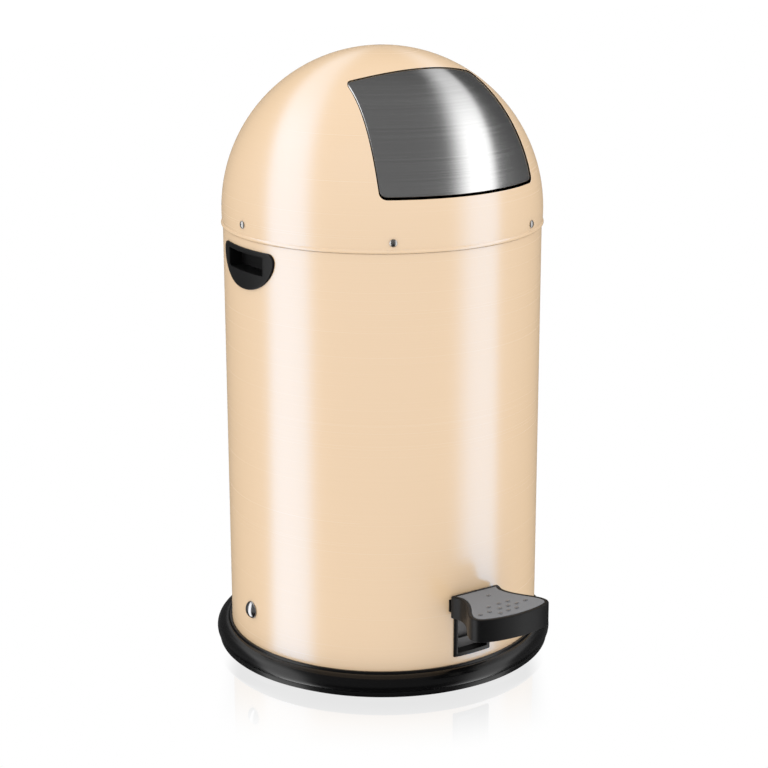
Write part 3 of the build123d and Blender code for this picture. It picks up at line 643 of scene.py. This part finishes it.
def pedal_outline(inset, corner=1.2):
    pts = []
    n = len(HALF)
    for i in range(n - 1):
        p0, p1, p2 = HALF[max(i - 1, 0)], HALF[i], HALF[i + 1]
        p3 = HALF[i + 2] if i + 2 < n else (-HALF[n - 2][0], HALF[n - 2][1])
        for k in range(8):
            t = k / 8.0
            pts.append(tuple(0.5 * (2 * p1[c] + (p2[c] - p0[c]) * t + (2 * p0[c] - 5 * p1[c] + 4 * p2[c] - p3[c]) * t * t
                                    + (3 * p1[c] - p0[c] - 3 * p2[c] + p3[c]) * t ** 3) for c in (0, 1)))
    pts.append(HALF[-1])
    off = []
    for i, (x, y) in enumerate(pts):
        x0, y0 = pts[max(i - 1, 0)]
        x1, y1 = pts[i + 1] if i + 1 < len(pts) else (-pts[i - 1][0], pts[i - 1][1])
        tx, ty = x1 - x0, y1 - y0
        d = math.hypot(tx, ty)
        off.append((x + ty / d * inset, y - tx / d * inset))
    back = -170.4 - inset
    right = [(off[0][0] + 0.9, back)] + off
    left = [(-x, y) for x, y in reversed(right) if x > 1e-6]
    full = right + left
    k = len(full) - 1
    return fillet_poly([(x, y, corner if i in (0, k) else 0) for i, (x, y) in enumerate(full)], 5)


def flat(xy, z):
    return np.c_[xy, np.full(len(xy), z)]


cp = (0.0, -214.0)
zt, zb = 103.0, 79.0
spec = [(3.0, 97.6), (3.0, 79.5), (2.75, 79.1), (2.2, 79.0), (0.9, 79.0), (0.35, 79.12), (0.0, 79.6), (0.0, 90.0),
        (0.0, 101.6), (0.12, 102.2), (0.42, 102.7), (0.85, 102.94), (1.3, 103.0), (3.6, 103.0), (3.9, 102.92),
        (4.05, 102.6), (4.1, 102.2), (4.1, 101.25)]
s = star(cp, [pedal_outline(i) for i, _ in spec], 360)
pd = Build()
pd.loops([flat(q, z) for q, (_, z) in zip(s, spec)], start=(cp[0], cp[1], 97.6), end=(cp[0], cp[1], 101.25))
pd.box(-14.0, -11.05, -236.0, -172.0, 83.0, 97.9)
pd.box(11.05, 14.0, -236.0, -172.0, 83.0, 97.9)
pd.box(-13.9, 13.9, -238.0, -234.1, 83.0, 97.9)
pd.box(-11.3, 11.3, -235.9, -172.0, 89.65, 97.9)
piece(pd, "pedal_shell", "pedal_lever", ["pedal"], M["black_satin_plastic"], sharp=32)

spec = [(4.5, 101.25), (4.5, 102.75), (4.62, 103.0), (4.9, 103.13), (5.4, 103.15)]
s = star(cp, [pedal_outline(i) for i, _ in spec], 360)
gp = Build()
gp.loops([flat(q, z) for q, (_, z) in zip(s, spec)] + [flat(lerp(s[-1], np.tile(cp, (len(s[0]), 1)), t), 103.15)
                                                       for t in (0.3, 0.6, 0.85)],
         start=(cp[0], cp[1], 101.25), end=(cp[0], cp[1], 103.15))
piece(gp, "pedal_pad", "pedal_lever", ["pedal_grip"], M["grey_grip"])
gd = Build()
for dx, dy in ((3.1, -191.7), (-1.5, -215.4), (9.9, -214.9), (14.2, -224.7), (26.7, -223.0), (-15.7, -217.0),
               (-8.2, -226.0), (3.1, -224.9), (6.9, -234.2), (-34.6, -228.8), (-22.4, -227.5), (-15.6, -236.5),
               (-3.8, -234.6)):
    ls = []
    for k in range(8):
        t = k / 7 * math.pi / 2 * 0.96
        rr, hh = math.cos(t) ** 0.6, math.sin(t) ** 0.85
        a = np.linspace(0, 2 * math.pi, 28, endpoint=False)
        ls.append(np.c_[dx + 2.5 * rr * np.cos(a), dy + 2.2 * rr * np.sin(a), np.full(28, 103.1 + 1.1 * hh)])
    gd.loops(ls, start=(dx, dy, 103.1), end=(dx, dy, 104.2))
piece(gd, "pedal_dots", "pedal_lever", [], M["grip_dot_painted_shade"])


# ---------------------------------------------------------------- screws and cap nuts
def screw_mesh(b, ang_deg, r_shank, r_in, turn, z=Z_C):
    """Pan head screw on the level circle at the flap's axis; ang 0 is the front."""
    a = math.radians(ang_deg)
    d = np.array((math.sin(a), -math.cos(a), 0.0))
    e1 = np.array((math.cos(a), math.sin(a), 0.0))
    e2 = np.array((0.0, 0.0, 1.0))
    ct, st = math.cos(turn), math.sin(turn)
    f1, f2 = e1 * ct + e2 * st, -e1 * st + e2 * ct
    w, l = 0.42, 1.9
    cross = [(w, w), (w, l), (-w, l), (-w, w), (-l, w), (-l, -w), (-w, -w), (-w, -l), (w, -l), (w, -w), (l, -w), (l, w)]
    cross = fillet_poly([(x, y, 0.12) for x, y in cross], 2)
    circ = [(math.cos(t), math.sin(t)) for t in np.linspace(0, 2 * math.pi, 48, endpoint=False)]
    s = star((0, 0), [circ, cross], 96)
    uc, cr = s

    def put(uv, h):
        h = np.broadcast_to(h, len(uv))
        return d * h[:, None] + f1 * uv[:, :1] + f2 * uv[:, 1:] + (0, 0, z)

    def crown(uv):
        return 166.3 + np.sqrt(np.maximum(5.5 ** 2 - (uv ** 2).sum(axis=1), 0))

    L = [put(uc * (r_shank - 0.5), r_in), put(uc * r_shank, r_in + 0.6), put(uc * r_shank, 168.9),
         put(uc * 3.7, 169.25), put(uc * 3.9, 169.4), put(uc * 3.9, 169.95), put(uc * 3.86, crown(uc * 3.86))]
    for t in (0.08, 0.3, 0.6, 0.9, 1.0):
        uv = lerp(uc * 3.78, cr, t)
        L.append(put(uv, crown(uv)))
    L += [put(cr * 0.97, crown(cr) - 0.1), put(cr * 0.8, 170.85)]
    b.loops(L, start=tuple(d * r_in + (0, 0, z)), end=tuple(d * 170.82 + (0, 0, z)))


sb = Build()
for k, a in enumerate((30, -30, 150, -150)):
    screw_mesh(sb, a, 2.0, 159.0, (0.35, 0.9, 0.2, 1.2)[k], 475.4)
piece(sb, "lid_screw_set", "dome", ["dome_screws"], M["steel_screw"], sharp=50)
sb = Build()
for k, a in enumerate((90, -90)):
    screw_mesh(sb, a, 3.0, 149.2, (0.6, 0.25)[k])
piece(sb, "pivot_screw_set", "dome", ["pivot_screws"], M["steel_screw"], sharp=50)

nb = Build()
rc = (9.4 ** 2 + 5.3 ** 2) / (2 * 5.3)
xc = 174.4 - rc
for sx in (-1, 1):
    prof = [(4.0, 168.1), (9.1, 168.1), (9.32, 168.2), (9.42, 168.45), (9.42, 168.8), (9.32, 169.02), (9.1, 169.14)]
    a_max = math.asin(9.0 / rc)
    prof += [(rc * math.sin(a_max * (1 - k / 16)), xc + rc * math.cos(a_max * (1 - k / 16))) for k in range(16)]
    L = []
    for r, x in prof:
        t = np.linspace(0, 2 * math.pi, 96, endpoint=False)
        L.append(np.c_[np.full(96, sx * x), r * np.cos(t), Z_AXLE + r * np.sin(t)])
    inner = [(4.0, 170.05)]
    for r, x in inner:
        L.insert(0, np.c_[np.full(96, sx * x), r * np.cos(t), Z_AXLE + r * np.sin(t)])
    nb.loops(L, start=(sx * 170.05, 0, Z_AXLE), end=(sx * 174.4, 0, Z_AXLE))
piece(nb, "cap_nut_pair", "body", ["axle_cap_nuts"], M["bright_chrome"])

# ---------------------------------------------------------------- bucket
rim = [(145.1 + 2.0 * math.cos(t), 453.5 + 2.0 * math.sin(t)) for t in np.linspace(-math.pi * 0.42, math.pi * 1.42, 22)]
prof = [(0.01, 104.0), (139.0, 104.0), (141.3, 103.6), (142.0, 102.6), (142.0, 101.0), (142.4, 100.6), (143.5, 100.5),
        (144.7, 100.7), (145.0, 101.4)]
prof += [(145.0, z) for z in (110, 180, 250, 320, 380, 440)] + rim
prof += [(144.0, z) for z in (440, 380, 320, 250, 180, 110)] + [(143.7, 106.6), (142.2, 105.4), (140.0, 105.2), (0.01, 105.2)]
bk = lathe(prof, 240, closed=False)
piece(bk, "bucket_wall", "inner_bucket", ["bucket"], M["galvanised_sheet"])

# ---------------------------------------------------------------- materials on the CAD nodes that stay
slots = {
    "bottom_plate": "black_satin_plastic", "collar_ring": "black_satin_plastic", "flap_carrier": "black_satin_plastic",
    "flap_arm_left": "black_satin_plastic", "flap_arm_right": "black_satin_plastic", "slot_shield": "slot_grey", "slot_sill": "slot_grey",
    "bucket_shelf": "galvanised_sheet", "rod_guides": "black_satin_plastic", "lever_tube": "zinc_plate",
    "front_arm": "zinc_plate", "rear_arm": "zinc_plate", "lever_shoe": "white_nylon", "lever_bushes": "white_nylon",
    "pivot_bushes": "white_nylon", "rod_foot": "white_nylon", "push_rod": "steel_rod", "axle": "steel_rod",
    "crank_pin": "steel_rod", "shoe_pin": "steel_rod", "bail": "steel_rod", "bail_grip": "black_satin_plastic",
    "bucket_ears": "galvanised_sheet", "return_spring": "spring_wire", "axle_washers": "zinc_plate",
    "axle_lock_nuts": "zinc_plate", "base_screws": "steel_screw", "pedal_screws": "steel_screw",
    "flap_rivets": "steel_screw",
}
record_slots = set()
rec = frame["record"]
for n, o in frame["nodes"].items():
    if n in slots:
        o.data.materials.clear()
        o.data.materials.append(M[slots[n]])
        o.data.polygons.foreach_set("use_smooth", [True] * len(o.data.polygons))
    elif not o.hide_render:
        o.data.materials.clear()
        o.data.materials.append(M["zinc_plate"])

# ---------------------------------------------------------------- studio
sc = bpy.context.scene
sc.view_settings.view_transform = "Standard"
sc.view_settings.look = "None"
sc.view_settings.exposure = 0.0
sc.view_settings.gamma = 1.0

GREY_ROOM, LEFT_STRIP, RIGHT_STRIP, EVEN_LIGHT = 0.24, 2.9, 2.25, 1.06
world = bpy.data.worlds.new("studio")
sc.world = world
world.use_nodes = True
wn, wl = world.node_tree.nodes, world.node_tree.links


def node(kind, **values):
    n = wn.new(kind)
    for k, v in values.items():
        setattr(n, k, v)
    return n


def math_node(op, a, b=None):
    n = node("ShaderNodeMath", operation=op)
    for i, x in enumerate((a, b)):
        if x is None:
            continue
        if isinstance(x, (int, float)):
            n.inputs[i].default_value = x
        else:
            wl.new(x, n.inputs[i])
    return n.outputs[0]


def dot_with(vec):
    n = node("ShaderNodeVectorMath", operation="DOT_PRODUCT")
    n.inputs[1].default_value = vec
    wl.new(wt.outputs["Generated"], n.inputs[0])
    return n.outputs["Value"]


def ramp(x, a, b, lo_v=0.0, hi_v=1.0):
    n = node("ShaderNodeMapRange", interpolation_type="SMOOTHSTEP")
    for k, v in (("From Min", a), ("From Max", b), ("To Min", lo_v), ("To Max", hi_v)):
        n.inputs[k].default_value = v
    wl.new(x, n.inputs["Value"])
    return n.outputs["Result"]


# a grey room with two tall soft strips of light that arch over the object, left and right; a place in the room is
# named by the slope of the mirror that would turn its light towards the front, which makes the arches plain bands
wt = node("ShaderNodeTexCoord")
to_cam = dot_with((-0.5534, -0.8329, 0.0))
height = dot_with((0.0, 0.0, 1.0))
half_sum = node("ShaderNodeVectorMath", operation="ADD")
wl.new(wt.outputs["Generated"], half_sum.inputs[0])
half_sum.inputs[1].default_value = (-0.5450, -0.8203, 0.1736)
half_way = node("ShaderNodeVectorMath", operation="NORMALIZE")
wl.new(half_sum.outputs["Vector"], half_way.inputs[0])


def slope(vec):
    n = node("ShaderNodeVectorMath", operation="DOT_PRODUCT")
    n.inputs[1].default_value = vec
    wl.new(half_way.outputs["Vector"], n.inputs[0])
    return n.outputs["Value"]


turn = math_node("ARCTAN2", slope((0.8329, -0.5534, 0.0)), slope((-0.5534, -0.8329, 0.0)))
rise = slope((0.0, 0.0, 1.0))
rise2 = math_node("MULTIPLY", rise, math_node("ABSOLUTE", rise))
widen = math_node("ADD", math_node("MULTIPLY", rise2, 0.55), 1.0)


def strip(side, centre, half, soft_in, soft_out, bow):
    """A band at a turn of centre degrees, leaning outwards by bow degrees towards the top."""
    mid = math_node("ADD", math_node("MULTIPLY", rise2, math.radians(bow)), math.radians(centre))
    off = math_node("DIVIDE", math_node("SUBTRACT", math_node("MULTIPLY", turn, side), mid), widen)
    inner = ramp(off, math.radians(-half - soft_in), math.radians(-half + soft_in))
    outer = ramp(off, math.radians(half - soft_out), math.radians(half + soft_out), 1.0, 0.0)
    return math_node("MULTIPLY", inner, outer)


left = math_node("MULTIPLY", strip(-1.0, 35.2, 8.8, 2.8, 2.2, 15.0), LEFT_STRIP)
right = math_node("MULTIPLY", strip(1.0, 37.0, 7.8, 5.2, 1.3, 15.0), RIGHT_STRIP)
spread_len = node("ShaderNodeVectorMath", operation="LENGTH")
wl.new(half_sum.outputs["Vector"], spread_len.inputs[0])
strips = math_node("MULTIPLY", math_node("ADD", left, right), ramp(rise, 0.50, 0.96, 1.0, 0.36))
strips = math_node("MULTIPLY", strips, ramp(spread_len.outputs["Value"], 0.32, 0.80))
grey = math_node("MULTIPLY", ramp(height, -0.62, -0.20, 0.12 * GREY_ROOM, GREY_ROOM), ramp(to_cam, -0.95, -0.1, 0.45, 1.0))
room = math_node("ADD", strips, grey)
lp = node("ShaderNodeLightPath")
pick = node("ShaderNodeMix", data_type="FLOAT")
wl.new(lp.outputs["Is Glossy Ray"], pick.inputs["Factor"])
wl.new(math_node("MULTIPLY", ramp(height, -1.0, 1.0, 0.95 * EVEN_LIGHT, 1.09 * EVEN_LIGHT), ramp(to_cam, -1.0, 1.0, 1.12, 0.98)),
       pick.inputs["A"])
wl.new(room, pick.inputs["B"])
bg = wn["Background"]
bg.inputs["Color"].default_value = (1, 1, 1, 1)
wl.new(pick.outputs["Result"], bg.inputs["Strength"])
if hasattr(world, "cycles"):
    world.cycles.sampling_method = "NONE"

# floor: a white sheet with a faint polish, whose mirror image dies away from the object
fm = bpy.data.materials.new("floor_white")
fm.use_nodes = True
nd, lk = fm.node_tree.nodes, fm.node_tree.links
nd.remove(nd["Principled BSDF"])
out = nd["Material Output"]
em = nd.new("ShaderNodeEmission")
em.inputs["Color"].default_value = (1, 1, 1, 1)
em.inputs["Strength"].default_value = 1.0
gl = nd.new("ShaderNodeBsdfGlossy")
gl.inputs["Color"].default_value = (1, 1, 1, 1)
gl.inputs["Roughness"].default_value = 0.03
tc = nd.new("ShaderNodeTexCoord")
ln = nd.new("ShaderNodeVectorMath")
ln.operation = "LENGTH"
lk.new(tc.outputs["Object"], ln.inputs[0])


def floor_ramp(x, lo, hi, v_lo, v_hi):
    m = nd.new("ShaderNodeMapRange")
    m.interpolation_type = "SMOOTHSTEP"
    for k, v in (("From Min", lo), ("From Max", hi), ("To Min", v_lo), ("To Max", v_hi)):
        m.inputs[k].default_value = v
    lk.new(x, m.inputs["Value"])
    return m.outputs["Result"]


def floor_math(op, x, y=None):
    m = nd.new("ShaderNodeMath")
    m.operation = op
    lk.new(x, m.inputs[0])
    if y is not None:
        lk.new(y, m.inputs[1])
    return m.outputs[0]


def floor_dot(vec):
    m = nd.new("ShaderNodeVectorMath")
    m.operation = "DOT_PRODUCT"
    m.inputs[1].default_value = vec
    lk.new(tc.outputs["Object"], m.inputs[0])
    return m.outputs["Value"]


near = floor_ramp(ln.outputs["Value"], 0.19, 0.315, 0.21, 0.0)
across = floor_ramp(floor_math("ABSOLUTE", floor_dot((0.8329, -0.5534, 0.0))), 0.150, 0.176, 1.0, 0.0)
front = floor_ramp(floor_dot((-0.5534, -0.8329, 0.0)), 0.02, 0.10, 0.0, 1.0)
polish = floor_math("MULTIPLY", floor_math("MULTIPLY", near, across), front)
mx = nd.new("ShaderNodeMixShader")
lk.new(polish, mx.inputs[0])
lk.new(em.outputs[0], mx.inputs[1])
lk.new(gl.outputs[0], mx.inputs[2])
see = nd.new("ShaderNodeNewGeometry")        # the sheet is clear from below, so that the underside can be seen
clear = nd.new("ShaderNodeBsdfTransparent")
both = nd.new("ShaderNodeMixShader")
lk.new(see.outputs["Backfacing"], both.inputs[0])
lk.new(mx.outputs[0], both.inputs[1])
lk.new(clear.outputs[0], both.inputs[2])
lk.new(both.outputs[0], out.inputs["Surface"])
me = bpy.data.meshes.new("floor")
me.from_pydata([(-6, -6, 0), (6, -6, 0), (6, 6, 0), (-6, 6, 0)], [], [(0, 1, 2, 3)])
floor = bpy.data.objects.new("floor", me)
me.materials.append(fm)
floor.location.z = -0.0003
sc.collection.objects.link(floor)
floor.visible_glossy = floor.visible_diffuse = floor.visible_shadow = False
floor.visible_transmission = False

VIEW = np.array((0.5534, 0.8329))          # level direction in which the camera looks
RIGHT = np.array((0.8329, -0.5534))


def softbox(name, beta, dist, z, w, h, power, aim=(0, 0, 0.33), color=(1, 1, 1)):
    b = math.radians(beta)
    p = -VIEW * math.cos(b) + RIGHT * math.sin(b)
    ld = bpy.data.lights.new(name, "AREA")
    ld.shape, ld.size, ld.size_y = "RECTANGLE", w, h
    ld.energy, ld.color = power, color
    o = bpy.data.objects.new(name, ld)
    o.location = (p[0] * dist, p[1] * dist, z)
    o.rotation_mode = "QUATERNION"
    o.rotation_quaternion = (Vector(aim) - Vector(o.location)).to_track_quat("-Z", "Y")
    sc.collection.objects.link(o)
    return o


key = softbox("key_box", -18.0, 2.2, 2.2, 1.6, 1.6, 7.0)
key.visible_glossy = False

# ---------------------------------------------------------------- camera
psi, pitch, rho = 0.0007, 0.27615, -0.00204
fw = Vector((math.sin(psi) * math.cos(pitch), math.cos(psi) * math.cos(pitch), -math.sin(pitch)))
r = fw.cross(Vector((0, 0, 1))).normalized()
u = r.cross(fw)
r2 = math.cos(rho) * r + math.sin(rho) * u
u2 = -math.sin(rho) * r + math.cos(rho) * u
turn = Matrix.Rotation(-0.58647, 3, "Z")
r2, u2, back = turn @ r2, turn @ u2, turn @ (-fw)
cam_data = bpy.data.cameras.new("camera")
cam_data.sensor_width = 36.0
cam_data.lens = 91.82
cam_data.clip_end = 50
cam = bpy.data.objects.new("camera", cam_data)
mat = Matrix((r2, u2, back)).transposed().to_4x4()
mat.translation = (-1.12832, -1.69811, 0.86293)
cam.matrix_world = mat
sc.collection.objects.link(cam)
sc.camera = cam
